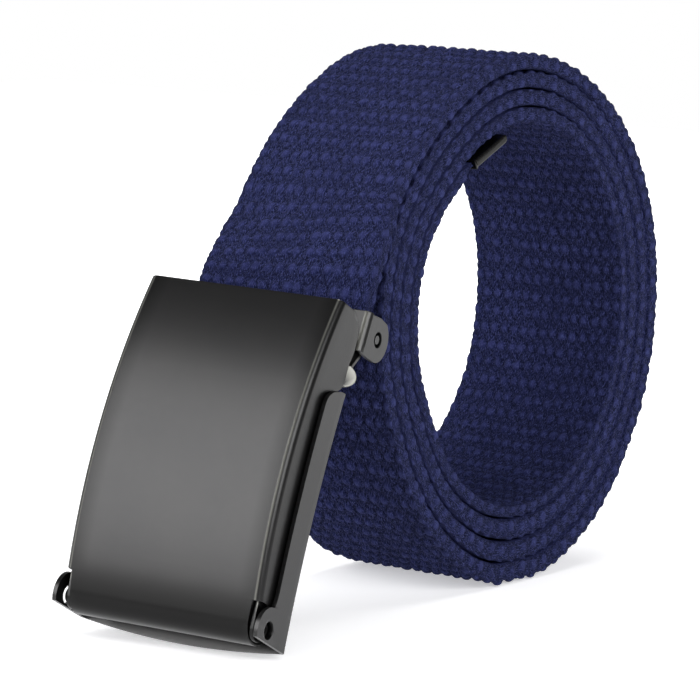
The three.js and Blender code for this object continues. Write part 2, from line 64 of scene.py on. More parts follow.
camera.matrix_world = placed
bpy.context.scene.camera = camera
bpy.context.scene.view_settings.view_transform = "Standard"


class Sock:
    """A shader socket that adds its own Math nodes when it is used in an expression."""

    def __init__(self, tree, out):
        self.tree = tree
        self.out = out

    def math(self, operation, *values):
        node = self.tree.nodes.new("ShaderNodeMath")
        node.operation = operation
        for slot, value in zip(node.inputs, values):
            if isinstance(value, Sock):
                self.tree.links.new(value.out, slot)
            else:
                slot.default_value = value
        return Sock(self.tree, node.outputs[0])

    def __add__(self, other):
        return self.math("ADD", self, other)

    def __radd__(self, other):
        return self.math("ADD", other, self)

    def __sub__(self, other):
        return self.math("SUBTRACT", self, other)

    def __rsub__(self, other):
        return self.math("SUBTRACT", other, self)

    def __mul__(self, other):
        return self.math("MULTIPLY", self, other)

    def __rmul__(self, other):
        return self.math("MULTIPLY", other, self)


class Finish:
    """A material whose nodes are added one by one; its shader is a Principled one."""

    def __init__(self, name, **constants):
        self.material = bpy.data.materials.new(name)
        self.material.use_nodes = True
        self.tree = self.material.node_tree
        self.shader = self.tree.nodes["Principled BSDF"]
        for socket, value in constants.items():
            self.shader.inputs[socket.replace("_", " ").title().replace("Ior", "IOR")].default_value = value

    def node(self, kind, settings=None, output=0, **inputs):
        node = self.tree.nodes.new("ShaderNode" + kind)
        stops = None
        for key, value in (settings or {}).items():
            if key == "stops":
                stops = value
            else:
                setattr(node, key, value)
        if stops:
            while len(node.color_ramp.elements) < len(stops):
                node.color_ramp.elements.new(1.0)
            for element, (place, colour) in zip(node.color_ramp.elements, stops):
                element.position = place
                element.color = (*colour, 1) if len(colour) == 3 else colour
        for key, value in inputs.items():
            slot = node.inputs[int(key[1:])] if key[0] == "i" and key[1:].isdigit() else node.inputs[key]
            if isinstance(value, Sock):
                self.tree.links.new(value.out, slot)
            else:
                slot.default_value = value
        return Sock(self.tree, node.outputs[output])

    def mix(self, factor, first, second, blend="MIX"):
        settings = {"data_type": "RGBA", "blend_type": blend}
        return self.node("Mix", settings, output=2, i0=factor, i6=first, i7=second)

    def feed(self, **links):
        for key, value in links.items():
            self.tree.links.new(value.out, self.shader.inputs[key.replace("_", " ").title()])


# The table the belt stands on, and the plain studio round it: a broad soft light above the
# front left, one from the right and one overhead. The table glows a little more away from
# the belt, and the sky that lights it is darkest overhead and behind.
FLOOR_HALF = 1.0
FLOOR_DROP = 0.0002
paper = Finish("pale_paper", roughness=0.7, base_color=(0.9, 0.9, 0.9, 1))
grain = paper.node("TexNoise", output=0, Scale=60.0, Detail=3.0)
spot = paper.node("TexCoord", output=3)
apart = paper.node("VectorMath", {"operation": "LENGTH"}, output=1, i0=spot)
lit = paper.node("MapRange", i0=apart, i1=0.1, i2=0.45, i3=0.0, i4=1.0)
paper.shader.inputs["Emission Strength"].default_value = 1.0
paper.feed(
    roughness=0.62 + grain * 0.12,
    emission_color=paper.mix(lit, (0.44, 0.44, 0.45, 1), (1.0, 1.0, 1.0, 1)))
floor_mesh = bpy.data.meshes.new("floor")
corners = [(FLOOR_HALF * x, FLOOR_HALF * y, 0) for x, y in ((-1, -1), (1, -1), (1, 1), (-1, 1))]
floor_mesh.from_pydata(corners, [], [(0, 1, 2, 3)])
floor_mesh.materials.append(paper.material)
floor = bpy.data.objects.new("floor", floor_mesh)
bpy.context.scene.collection.objects.link(floor)
floor.location.z = -FLOOR_DROP

world = bpy.data.worlds.new("studio")
world.use_nodes = True
bpy.context.scene.world = world
sky = world.node_tree
direction = sky.nodes.new("ShaderNodeTexCoord")
aim = sky.nodes.new("ShaderNodeSeparateXYZ")
sky.links.new(direction.outputs["Generated"], aim.inputs[0])
fade = sky.nodes.new("ShaderNodeValToRGB")
SKY_STOPS = [(0.0, 0.6), (0.12, 0.55), (0.4, 0.6), (0.62, 0.3), (0.82, 0.08), (1.0, 0.05)]
while len(fade.color_ramp.elements) < len(SKY_STOPS):
    fade.color_ramp.elements.new(1.0)
for element, (place, grey) in zip(fade.color_ramp.elements, SKY_STOPS):
    element.position = place
    element.color = (grey, grey, grey, 1)
sky.links.new(aim.outputs["Z"], fade.inputs[0])
shaded_side = sky.nodes.new("ShaderNodeMapRange")
shaded_side.inputs["To Min"].default_value = 1.0
shaded_side.inputs["To Max"].default_value = 0.5
sky.links.new(aim.outputs["X"], shaded_side.inputs["Value"])
shaded_back = sky.nodes.new("ShaderNodeMapRange")
shaded_back.inputs["To Min"].default_value = 1.0
shaded_back.inputs["To Max"].default_value = 0.35
sky.links.new(aim.outputs["Y"], shaded_back.inputs["Value"])
seen = sky.nodes.new("ShaderNodeLightPath")
strength = Sock(sky, shaded_side.outputs[0]) * Sock(sky, shaded_back.outputs[0])
camera_ray = Sock(sky, seen.outputs["Is Camera Ray"])
wall = sky.nodes.new("ShaderNodeMix")
wall.data_type = "RGBA"
sky.links.new(camera_ray.out, wall.inputs[0])
sky.links.new(fade.outputs[0], wall.inputs[6])
wall.inputs[7].default_value = (1, 1, 1, 1)
sky.links.new(wall.outputs[2], sky.nodes["Background"].inputs["Color"])
sky.links.new((strength + (1 - strength) * camera_ray).out, sky.nodes["Background"].inputs["Strength"])

LIGHTS_AIM = Vector((0, 0, 0.05))
for name, place, size, power in (
    ("key_light", (-0.33, -1.05, 0.62), 0.85, 13.0),
    ("fill_light", (1.2, -0.42, 0.62), 0.7, 15.0),
    ("top_light", (0.0, 0.3, 1.4), 0.9, 10.0),
):
    light_data = bpy.data.lights.new(name, "AREA")
    light_data.size = size
    light_data.energy = power
    light = bpy.data.objects.new(name, light_data)
    light.location = place
    light.rotation_mode = "QUATERNION"
    light.rotation_quaternion = (LIGHTS_AIM - Vector(place)).to_track_quat("-Z", "Y")
    bpy.context.scene.collection.objects.link(light)


# Strap: one length of heavy cotton webbing, woven so that thick warp knuckles stand up in
# staggered rows on both faces and round the edges. It leaves the clamp with a slight twist
# and is wound up over four layers, with its free end pushed into the metal tip.
WEBBING_WIDTH = 38.0
WEBBING_THICKNESS = 3.0
COIL_RADIUS = 53.0
COIL_MIDDLE = (-4.908, 24.554)
RESTING_FLAT = 0.35
COIL_TABLE = np.array([
    (0.884, 1.06), (0.938, 1.08), (0.981, 1.14), (1.055, 1.2), (1.06, 1.14), (1.053, 1.26),
    (1.03, 1.28), (1.036, 1.3), (1.068, 1.46), (1.06, 1.54), (0.955, 1.28), (0.875, 1.12),
])
LIFT_OFF_TURN = 0.1
TIP_TURN = 4.18
TIP_SQUEEZE = 0.36
TIP_LENGTH = 12.0
TIP_OUTWARD = 0.55
TIP_WALL = 0.9
THIN_FROM, THIN_OVER = 0.014, 0.012
CLAMP_STEPS, RISE_STEPS, COIL_STEPS, TIP_STEPS = 12, 60, 1600, 10
HINGE = Vector((3.2807, -69.3677, 7.3141))
buckle_turn = (
    Matrix.Rotation(math.radians(11), 3, "Z")
    @ Matrix.Rotation(math.radians(-26.3), 3, "X")
    @ Matrix.Rotation(math.radians(2.5), 3, "Y")
)
STRAP_DEPTH = 11.0
CLAMP_TOP = 65.0
STRAP_LOW_END = 60.6


def in_buckle(x, depth, height):
    return buckle_turn @ Vector((x, depth, height)) + HINGE


def table_value(column, turn):
    rows = len(COIL_TABLE)
    place = (turn - math.floor(turn)) * rows
    row = int(place)
    a, b, c, d = (COIL_TABLE[(row + k) % rows][column] for k in (-1, 0, 1, 2))
    t = place - row
    return b + 0.5 * t * (c - a + t * (2 * a - 5 * b + 4 * c - d + t * (3 * (b - c) + d - a)))


def outer_radius(turn):
    return table_value(0, turn) * COIL_RADIUS - turn * table_value(1, turn) * WEBBING_THICKNESS


PUFF_FREE = 0.95
PUFF_MOST = 0.6
PUFF_STARTS_OVER = 0.1
PUFF_LAST_TURN = 3.45
PUFF_STOPS_OVER = 0.3
coil_height = max(-outer_radius(i / 40) * math.sin(2 * math.pi * i / 40) for i in range(40)) - RESTING_FLAT


def puff(turn):
    """How much the loose cloth swells into the room before the next layer inward."""
    room = min(max(table_value(1, turn) - PUFF_FREE, 0), PUFF_MOST)
    start = min(max((turn - LIFT_OFF_TURN) / PUFF_STARTS_OVER, 0), 1)
    stop = min(max((PUFF_LAST_TURN - turn) / PUFF_STOPS_OVER, 0), 1)
    return room * start * stop


def coil_point(turn, thickness=1.0):
    radius = outer_radius(turn) - thickness * WEBBING_THICKNESS / 2
    angle = 2 * math.pi * turn
    height = coil_height + radius * math.sin(angle)
    lowest = thickness * WEBBING_THICKNESS / 2
    return Vector((COIL_MIDDLE[0], COIL_MIDDLE[1] - radius * math.cos(angle), max(height, lowest)))


def coil_outwards(turn):
    return Vector((0, -math.cos(2 * math.pi * turn), math.sin(2 * math.pi * turn)))


def tip_direction():
    """The way the free end points inside the metal tip."""
    swept = TIP_LENGTH / (2 * math.pi * (outer_radius(TIP_TURN) - WEBBING_THICKNESS / 2))
    return (coil_point(TIP_TURN + swept) - coil_point(TIP_TURN)).normalized()


def strap_route():
    """Points along the strap's middle, each with the way its width runs and its thickness."""
    buckle_width = buckle_turn @ Vector((1, 0, 0))
    coil_width = Vector((1, 0, 0))
    route = []
    low = in_buckle(0, STRAP_DEPTH, STRAP_LOW_END)
    top = in_buckle(0, STRAP_DEPTH, CLAMP_TOP + WEBBING_THICKNESS)
    for i in range(CLAMP_STEPS):
        route.append((low.lerp(top, i / CLAMP_STEPS), buckle_width, 1.0))
    start = coil_point(LIFT_OFF_TURN)
    joining = (coil_point(LIFT_OFF_TURN + 0.006) - coil_point(LIFT_OFF_TURN - 0.006)).normalized()
    leaving = buckle_turn @ Vector((0, 0, 1))
    span = (top - start).length / 3
    p1 = top + leaving * span
    p2 = start - joining * span
    for i in range(RISE_STEPS):
        t = i / RISE_STEPS
        point = (1 - t) ** 3 * top + 3 * (1 - t) ** 2 * t * p1 + 3 * (1 - t) * t * t * p2 + t ** 3 * start
        route.append((point, buckle_width.lerp(coil_width, t * t * (3 - 2 * t)), 1.0))
    for i in range(COIL_STEPS + 1):
        turn = LIFT_OFF_TURN + (TIP_TURN - LIFT_OFF_TURN) * i / COIL_STEPS
        squeeze = min(max((turn - TIP_TURN + THIN_FROM) / THIN_OVER, 0), 1)
        puffed = 1 + puff(turn)
        point = coil_point(turn, puffed) + coil_outwards(turn) * TIP_OUTWARD * squeeze
        thinned = (1 - TIP_SQUEEZE) * squeeze * squeeze * (3 - 2 * squeeze)
        route.append((point, coil_width, puffed - thinned))
    end = coil_point(TIP_TURN) + coil_outwards(TIP_TURN) * TIP_OUTWARD
    for i in range(1, TIP_STEPS + 1):
        inside = tip_direction() * (TIP_LENGTH - TIP_WALL) * i / TIP_STEPS
        route.append((end + inside, coil_width, TIP_SQUEEZE))
    return route


def spread(values, lengths, places):
    return np.stack([np.interp(places, lengths, values[:, k]) for k in range(values.shape[1])], 1)


route = strap_route()
centres = np.array([r[0] for r in route])
widths = np.array([r[1] for r in route])
squeezes = np.array([[r[2]] for r in route])
lengths = np.concatenate([[0], np.cumsum(np.linalg.norm(np.diff(centres, axis=0), axis=1))])
STRAP_LENGTH = float(lengths[-1])

ROW_PITCH = 1.9
KNUCKLE_PITCH = 2.5
KNUCKLE_RISE = 0.68
KNUCKLE_LONG = 1.3
KNUCKLE_WIDE = 1.16
LOW_ROW = 0.55
RIM_RELIEF = 0.85
PLAIN_SINK = 0.25
EDGE_POINTS = 10
EDGE_RADIUS = 1.0


def section_points(front_step, back_step):
    """The strap's cross-section as points, their outward directions, and the way round it."""
    flat = WEBBING_WIDTH / 2 - EDGE_RADIUS
    points = []
    front = int(round(2 * flat / front_step))
    for i in range(front):
        points.append((flat - 2 * flat * i / front, WEBBING_THICKNESS / 2, 0, 1))
    for i in range(EDGE_POINTS):
        angle = math.pi / 2 + math.pi * i / EDGE_POINTS
        points.append(edge_point(-flat, angle))
    behind = int(round(2 * flat / back_step))
    for i in range(behind):
        points.append((-flat + 2 * flat * i / behind, -WEBBING_THICKNESS / 2, 0, -1))
    for i in range(EDGE_POINTS):
        angle = -math.pi / 2 + math.pi * i / EDGE_POINTS
        points.append(edge_point(flat, angle))
    table = np.array(points)
    steps = np.linalg.norm(np.diff(np.vstack([table, table[:1]])[:, :2], axis=0), axis=1)
    around = np.concatenate([[0], np.cumsum(steps)])
    return table, around[:-1], around[-1]


def edge_point(middle, angle):
    half = WEBBING_THICKNESS / 2
    x = math.copysign(abs(math.cos(angle)) ** 0.6, math.cos(angle)) * EDGE_RADIUS
    y = math.copysign(abs(math.sin(angle)) ** 0.6, math.sin(angle)) * half
    return (middle + x, y, math.cos(angle), math.sin(angle))


def knuckles(along, around, girth):
    """Height of the weave from 0 in the gaps to 1 on the knuckles, and a tone for each knuckle."""
    columns = round(girth / KNUCKLE_PITCH)
    pitch = girth / columns
    height = np.zeros(np.broadcast(along, around).shape)
    tone = np.full(height.shape, 0.5)
    near_row = np.round(along / ROW_PITCH)
    for row_step in (-1, 0, 1):
        row = near_row + row_step
        stagger = 0.5 * (row % 2)
        near_column = np.round(around / pitch - stagger)
        for column_step in (-1, 0, 1):
            column = near_column + column_step
            wrapped = column % columns
            random = np.sin(row * 12.9898 + wrapped * 78.233) * 43758.5453
            random = random - np.floor(random)
            other = np.sin(row * 39.425 + wrapped * 27.17) * 24634.6345
            other = other - np.floor(other)
            low = row % 2
            off_along = along - (row + 0.22 * (random - 0.5)) * ROW_PITCH
            off_around = around - (column + stagger + 0.2 * (other - 0.5)) * pitch
            reach = (off_along / (KNUCKLE_LONG * (1 - 0.3 * low))) ** 2
            reach = reach + (off_around / (KNUCKLE_WIDE * (1 - 0.15 * low) * (0.9 + 0.2 * random))) ** 2
            rise = np.clip(1 - reach, 0, 1) ** 0.6 * (0.78 + 0.22 * random) * (1 - (1 - LOW_ROW) * low)
            higher = rise > height
            height = np.where(higher, rise, height)
            tone = np.where(higher, 0.25 + 0.75 * other, tone)
    return height, tone


def webbing_stretch(name, first, last, step, front_step, back_step):
    """A closed stretch of the strap between two lengths, with its weave raised."""
    count = int(round((last - first) / step))
    along = np.linspace(first, last, count + 1)
    table, around, girth = section_points(front_step, back_step)
    centre = spread(centres, lengths, along)
    width = spread(widths, lengths, along)
    thick = spread(squeezes, lengths, along)
    ahead = spread(centres, lengths, along + 0.9) - spread(centres, lengths, along - 0.9)
    ahead /= np.linalg.norm(ahead, axis=1, keepdims=True)
    outward = np.cross(width, ahead)
    outward /= np.linalg.norm(outward, axis=1, keepdims=True)
    across = np.cross(ahead, outward)
    height, tone = knuckles(along[:, None], around[None, :], girth)
    fine = np.ones(len(table))
    if front_step > 1:
        fine[table[:, 3] > 0.99] = 0
    if back_step > 1:
        fine[table[:, 3] < -0.99] = 0
    rim = np.abs(table[:, 2]) > 0.3
    sunk = (1 - height) * KNUCKLE_RISE * fine * (1 - (1 - RIM_RELIEF) * rim) + PLAIN_SINK * (1 - fine)
    x = table[:, 0] - sunk * table[:, 2]
    y = (table[:, 1] - sunk * table[:, 3]) * thick
    points = centre[:, None] + x[..., None] * across[:, None] + y[..., None] * outward[:, None]
    points[..., 2] = np.maximum(points[..., 2], 0)
    stations, ring = points.shape[:2]
    vertices = points.reshape(-1, 3) * MM
    i, k = np.meshgrid(np.arange(stations - 1), np.arange(ring), indexing="ij")
    n = (k + 1) % ring
    quads = np.stack([i * ring + k, i * ring + n, (i + 1) * ring + n, (i + 1) * ring + k], -1)
    faces = quads.reshape(-1, 4).tolist()
    faces.append(list(range(ring))[::-1])
    faces.append(list(range((stations - 1) * ring, stations * ring)))
    mesh = bpy.data.meshes.new(name)
    mesh.from_pydata(vertices.tolist(), [], faces)
    # The knuckle height is kept as crown. The cloth's colour turns it into painted shade in the gaps
    # between knuckles; on the rims it starts a little above 0, so their gaps get less painted shade.
    crown = mesh.attributes.new("crown", "FLOAT", "POINT")
    raised = np.where(fine > 0, np.where(rim, 0.08 + 0.98 * height, height), 0.6)
    crown.data.foreach_set("value", raised.ravel().astype(np.float32))
    shade = mesh.attributes.new("tone", "FLOAT", "POINT")
    shade.data.foreach_set("value", tone.ravel().astype(np.float32))
    place = mesh.attributes.new("woven", "FLOAT_VECTOR", "POINT")
    flat = np.stack(np.broadcast_arrays(around[None, :], along[:, None], 0.0), -1)
    place.data.foreach_set("vector", flat.ravel().astype(np.float32))
    mesh.shade_smooth()
    mesh.validate()
    piece = bpy.data.objects.new(name, mesh)
    bpy.context.scene.collection.objects.link(piece)
    return piece


cotton = Finish("navy_cotton", roughness=0.92, sheen_weight=0.05, sheen_roughness=0.4)
cotton.shader.inputs["Sheen Tint"].default_value = (0.5, 0.55, 1.0, 1)
cotton.shader.inputs["Specular IOR Level"].default_value = 0.05
crown = cotton.node("Attribute", {"attribute_name": "crown"}, output=2)
tone = cotton.node("Attribute", {"attribute_name": "tone"}, output=2)
woven = cotton.node("Attribute", {"attribute_name": "woven"}, output=1)
fibres = cotton.node("Mapping", Vector=woven, Rotation=(0, 0, 0.45), Scale=(5.0, 1.3, 1))
strands = cotton.node("TexNoise", output=0, Vector=fibres, Scale=1.0, Detail=4.0, Roughness=0.7)
patches = cotton.node("TexNoise", output=0, Vector=woven, Scale=0.09, Detail=2.0)
fluff = cotton.node("TexNoise", output=0, Vector=woven, Scale=2.6, Detail=5.0, Roughness=0.75)
# Painted shade: the colour runs from near black at crown 0, in the gaps between knuckles, up to the yarn's
# own navy at crown 1 on the knuckle tops.
YARN_AND_GAP_SHADE_STOPS = [
    (0.0, (0.0012, 0.0017, 0.009)), (0.35, (0.004, 0.0055, 0.026)),
    (0.68, (0.02, 0.025, 0.1)), (1.0, (0.048, 0.057, 0.195))]
depth = cotton.node("ValToRGB", {"stops": YARN_AND_GAP_SHADE_STOPS}, Fac=crown)
toned = cotton.mix(0.4 * tone, depth, (0.009, 0.012, 0.05, 1))
streaked = cotton.mix(
    cotton.node("MapRange", i0=strands, i1=0.5, i2=0.62, i3=0.0, i4=0.8), toned, (0.07, 0.085, 0.27, 1))
worn = cotton.mix(
    cotton.node("MapRange", i0=fluff, i1=0.55, i2=0.66, i3=0.0, i4=0.6), streaked, (0.11, 0.125, 0.34, 1))
coloured = cotton.mix(
    cotton.node("MapRange", i0=patches, i1=0.35, i2=0.7, i3=0.0, i4=0.3), worn, (0.008, 0.0105, 0.045, 1))
relief = strands * 0.6 + fluff * 0.4
cotton.feed(
    base_color=coloured,
    normal=cotton.node("Bump", Strength=1.0, Distance=0.0018, Height=relief),
    roughness=0.86 + 0.12 * fluff)

OUTER_END = 395.0
INNER_START = STRAP_LENGTH - 245.0
ALONG_STEP, HIDDEN_ALONG_STEP = 0.56, 0.62
WOVEN_STEP, PLAIN_STEP = 0.45, 3.0
for name, first, last, along_step, front_step, back_step in (
    ("strap_outer_turn", 0.0, OUTER_END, ALONG_STEP, WOVEN_STEP, PLAIN_STEP),
    ("strap_inner_turn", INNER_START, STRAP_LENGTH, ALONG_STEP, PLAIN_STEP, WOVEN_STEP),
    ("strap_middle_turns", OUTER_END, INNER_START, HIDDEN_ALONG_STEP, PLAIN_STEP, PLAIN_STEP),
):
    piece = webbing_stretch(name, first, last, along_step, front_step, back_step)
    piece.data.materials.append(cotton.material)
    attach(piece, "belt")
    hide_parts("strap")

# Buckle cover: one pressed steel sheet, painted satin black. Its front is bowed from end to
# end, its sides are folded back into flanges with a deeper head and a flared finger tab, and
# its lower end is rolled back under the hinge. Two lugs carry it on the rivets.
SHEET = 0.8
COVER_HALF = 20.0
COVER_LOW, COVER_HIGH = 4.0, 62.75
COVER_END_DEPTH = -3.4
COVER_BOW_RADIUS = 112
FLANGE_DEPTH = 8.0
FLANGE_ROUND_TOP, FLANGE_ROUND = 8.4, 4.0
HEAD_LOW = 45.2
HEAD_BACK = [
    (45.2, 1.45), (46.2, 1.75), (47.2, 3.0), (48.4, 4.4), (49.5, 4.8), (53.2, 4.8),
    (55.6, 5.4), (57.8, 5.35), (59.8, 4.75), (61.4, 3.6), (62.3, 2.4), (62.75, 1.6)]
FOLD = 0.7
FACE_LOW = 4.4
TAB_HEIGHT, TAB_RADIUS = 51.2, 2.3
ROUND_SEGMENTS = 2


def cover_front(height):
    middle, half = (COVER_LOW + COVER_HIGH) / 2, (COVER_HIGH - COVER_LOW) / 2
    return COVER_END_DEPTH - (half * half - (height - middle) ** 2) / (2 * COVER_BOW_RADIUS)


def smooth_table(table, at):
    """A smooth curve through the rows of a table, read at one place or at many."""
    xs, ys = np.array(table).T
    slopes = np.gradient(ys, xs)
    at = np.clip(at, xs[0], xs[-1])
    k = np.clip(np.searchsorted(xs, at, side="right") - 1, 0, len(xs) - 2)
    w = xs[k + 1] - xs[k]
    t = (at - xs[k]) / w
    rise = (2 * t**3 - 3 * t**2 + 1) * ys[k] + (t**3 - 2 * t**2 + t) * w * slopes[k]
    return rise + (3 * t**2 - 2 * t**3) * ys[k + 1] + (t**3 - t**2) * w * slopes[k + 1]


def flange_back(height):
    straight = cover_front(height) + FLANGE_DEPTH
    if height < FLANGE_ROUND_TOP:
        past = (FLANGE_ROUND_TOP - height) / FLANGE_ROUND
        return straight - FLANGE_ROUND * (1 - math.sqrt(max(1 - past**2, 0)))
    if height < HEAD_LOW:
        return straight
    return float(smooth_table(HEAD_BACK, height))


def sheet_grid(name, rows):
    """One skin of sheet metal through rows of points, in the buckle's own frame."""
    mesh = bpy.data.meshes.new(name)
    across = len(rows[0])
    points = [tuple(p) for row in rows for p in row]
    faces = [
        (i * across + k, i * across + k + 1, (i + 1) * across + k + 1, (i + 1) * across + k)
        for i in range(len(rows) - 1) for k in range(across - 1)]
    mesh.from_pydata(points, [], faces)
    return mesh


def plate(outline, low, high):
    """A flat plate of an outline drawn as (depth, height), between two places across the width."""
    mesh = bpy.data.meshes.new("plate")
    count = len(outline)
    points = [(low, y, z) for y, z in outline] + [(high, y, z) for y, z in outline]
    faces = [(k, (k + 1) % count, count + (k + 1) % count, count + k) for k in range(count)]
    faces += [tuple(range(count))[::-1], tuple(range(count, 2 * count))]
    mesh.from_pydata(points, [], faces)
    return mesh


def arc(radius, start, stop, count, depth=0.0, height=0.0):
    turns = [math.radians(start + (stop - start) * i / count) for i in range(count + 1)]
    return [(depth + radius * math.cos(a), height + radius * math.sin(a)) for a in turns]


def finished(name, parts, body, *nodes, slot_name, material, turn=buckle_turn, origin=HINGE, shade=None):
    """One piece from several skins or plates: thickened, its edges rounded, put in its place.

    A part is (mesh, thickness, edge radius), and then, if needed, a turn for it and a list of
    holes as (depth, height, radius). Shade is 1 where shade is painted into the colour and -1 where
    a highlight is painted in.
    """
    whole = bmesh.new()
    for mesh, thickness, round_off, *more in parts:
        shape = bpy.data.objects.new("shape", mesh)
        bpy.context.scene.collection.objects.link(shape)
        if thickness:
            solid = shape.modifiers.new("solid", "SOLIDIFY")
            solid.offset = 1.0 if thickness < 0 else -1.0
            solid.thickness = abs(thickness)
            solid.use_even_offset = True
        drills = []
        for depth, height, radius in (more[1] if len(more) > 1 else ()):
            drill = bpy.data.objects.new("drill", plate(arc(radius, 0, 345, 23, depth, height), -40, 40))
            bpy.context.scene.collection.objects.link(drill)
            cut = shape.modifiers.new("cut", "BOOLEAN")
            cut.operation = "DIFFERENCE"
            cut.object = drill
            drills.append(drill)
        tidy = shape.modifiers.new("round", "BEVEL")
        tidy.width = round_off
        tidy.segments = ROUND_SEGMENTS
        tidy.limit_method = "ANGLE"
        tidy.angle_limit = math.radians(40)
        done = bpy.data.meshes.new_from_object(shape.evaluated_get(bpy.context.evaluated_depsgraph_get()))
        if more and more[0]:
            done.transform(more[0])
        whole.from_mesh(done)
        for gone in (shape, *drills):
            bpy.data.objects.remove(gone)
    bmesh.ops.recalc_face_normals(whole, faces=whole.faces)
    mesh = bpy.data.meshes.new(name)
    whole.to_mesh(mesh)
    whole.free()
    # The shade attribute holds painted light: 1 for painted shade, -1 for a painted highlight, 0 elsewhere.
    spots = np.zeros(len(mesh.vertices) * 3, np.float32)
    mesh.vertices.foreach_get("co", spots)
    painted_light_level = shade(*spots.reshape(-1, 3).T) if shade else spots[::3] * 0
    mesh.attributes.new("shade", "FLOAT", "POINT").data.foreach_set("value", painted_light_level.astype(np.float32))
    mesh.transform(Matrix.Translation(origin * MM) @ turn.to_4x4() @ Matrix.Scale(MM, 4))
    mesh.shade_smooth()
    mesh.set_sharp_from_angle(angle=math.radians(38))
    mesh.materials.append(material)
    piece = bpy.data.objects.new(name, mesh)
    bpy.context.scene.collection.objects.link(piece)
    even = piece.modifiers.new("even", "WEIGHTED_NORMAL")
    even.keep_sharp = True
    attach(piece, body)
    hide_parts(*nodes)
    return piece


def satin_black(name, grey, roughness, scale):
    paint = Finish(name, metallic=0.9, roughness=roughness, coat_weight=0.15, coat_roughness=0.25)
    place = paint.node("TexCoord", output=3)
    dust = paint.node("TexNoise", output=0, Vector=place, Scale=scale, Detail=4.0, Roughness=0.6)
    clouds = paint.node("TexNoise", output=0, Vector=place, Scale=70.0, Detail=2.0)
    skin = paint.node("TexNoise", output=0, Vector=place, Scale=2600.0, Detail=2.0)
    # Painted highlight: sharp edges and folds are painted up to 2.2 times the grey by their pointiness,
    # standing in for the thin bright lines that light draws along them.
    edge = paint.node("NewGeometry", output=7)
    painted_edge_highlight = paint.node("MapRange", i0=edge, i1=0.53, i2=0.6, i3=0.0, i4=0.35)
    cool, warm = (grey * 0.9, grey * 0.9, grey * 0.93, 1), (grey * 1.1, grey * 1.08, grey * 1.08, 1)
    tint = paint.mix(clouds, cool, warm)
    # Painted shade and highlight from the shade attribute: at 1 the colour is painted down to a fifth of
    # the grey, and at -1 a pale grey highlight is painted in.
    painted_light_level = paint.node("Attribute", {"attribute_name": "shade"}, output=2)
    painted_shade_colour = paint.mix(painted_light_level, tint, (grey * 0.2, grey * 0.2, grey * 0.2, 1))
    painted_highlight_amount = paint.node("MapRange", i0=painted_light_level, i1=0.0, i2=-1.0, i3=0.0, i4=1.0)
    shade_and_highlight_colour = paint.mix(painted_highlight_amount, painted_shade_colour, (0.22, 0.22, 0.2, 1))
    paint.feed(
        base_color=paint.mix(painted_edge_highlight, shade_and_highlight_colour, (grey * 2.2, grey * 2.2, grey * 2.2, 1)),
        roughness=roughness - 0.05 + 0.1 * dust,
        normal=paint.node("Bump", Strength=0.12, Distance=0.00005, Height=skin))
    return paint.material


def cover_rows():
    heights = sorted({
        round(h, 3) for h in
        [FACE_LOW + 0.25 * i for i in range(17)] + list(np.linspace(FLANGE_ROUND_TOP, HEAD_LOW, 30))
        + list(np.linspace(HEAD_LOW, 50, 17)) + list(np.linspace(50, 58, 12))
        + list(np.linspace(58, COVER_HIGH, 16))})
    bend = [(FOLD * (1 - math.cos(a)), FOLD * (1 - math.sin(a))) for a in np.linspace(0, math.pi / 2, 6)]
    rows = []
    for height in heights:
        front = cover_front(height)
        rear = flange_back(height)
        side = [(COVER_HALF, rear + (front + FOLD - rear) * i / 4) for i in range(4)]
        side += [(COVER_HALF - dx, front + dy) for dx, dy in bend]
        row = [(x, y, height) for x, y in side]
        inner = COVER_HALF - FOLD
        row += [(inner - 2 * inner * i / 12, front, height) for i in range(1, 12)]
        row += [(-x, y, height) for x, y in side[::-1]]
        rows.append(row)
    return rows


ROLL_RADIUS, ROLL_MIDDLE = 3.6, (1.0, 1.4)
ROLL_SLOPE = 0.2587


def rolled_end(top_row):
    """Rows below the front's lowest one, rolled back into the gripping edge."""
    face = [p for p in top_row if abs(p[0]) <= COVER_HALF - FOLD + 0.001]
    front = face[0][1]
    path = [(front + ROLL_SLOPE * t, FACE_LOW - t) for t in (0.7, 1.4, 2.1, 2.8, 3.4)]
    path += arc(ROLL_RADIUS, 194.5, 288, 12, *ROLL_MIDDLE) + [(3.4, -1.5), (4.6, -0.8)]
    rows = []
    for y, z in path:
        cut = min(max((3.9 - z) / 3.0, 0), 1)
        rows.append([(x * (1 - 0.012 * cut), y, z) for x, _, _ in face])
    return rows


def cover_sheet():
    rows = cover_rows()
    mesh = sheet_grid("cover", rows)
    points = [tuple(v.co) for v in mesh.vertices]
    faces = [tuple(f.vertices) for f in mesh.polygons]
    above = [k for k, p in enumerate(rows[0]) if abs(p[0]) <= COVER_HALF - FOLD + 0.001]
    for row in rolled_end(rows[0]):
        below = list(range(len(points), len(points) + len(row)))
        points += row
        faces += [(below[k], below[k + 1], above[k + 1], above[k]) for k in range(len(row) - 1)]
        above = below
    whole = bpy.data.meshes.new("cover")
    whole.from_pydata(points, [], faces)
    return whole


def finger_tab(side):
    root = -0.9
    outline = [(root, -TAB_RADIUS), (0, -TAB_RADIUS)] + arc(TAB_RADIUS, -90, 90, 14)[1:-1]
    outline += [(0, TAB_RADIUS), (root, TAB_RADIUS)]
    outline = [(y * 1.35 if y > 0 else y, z) for y, z in outline]
    turn = Matrix.Translation((side * (COVER_HALF - SHEET / 2), 4.9, TAB_HEIGHT)) @ Matrix.Rotation(
        -side * math.radians(40), 4, "Z")
    return plate(outline, -SHEET / 2, SHEET / 2), 0, 0.16, turn, ()


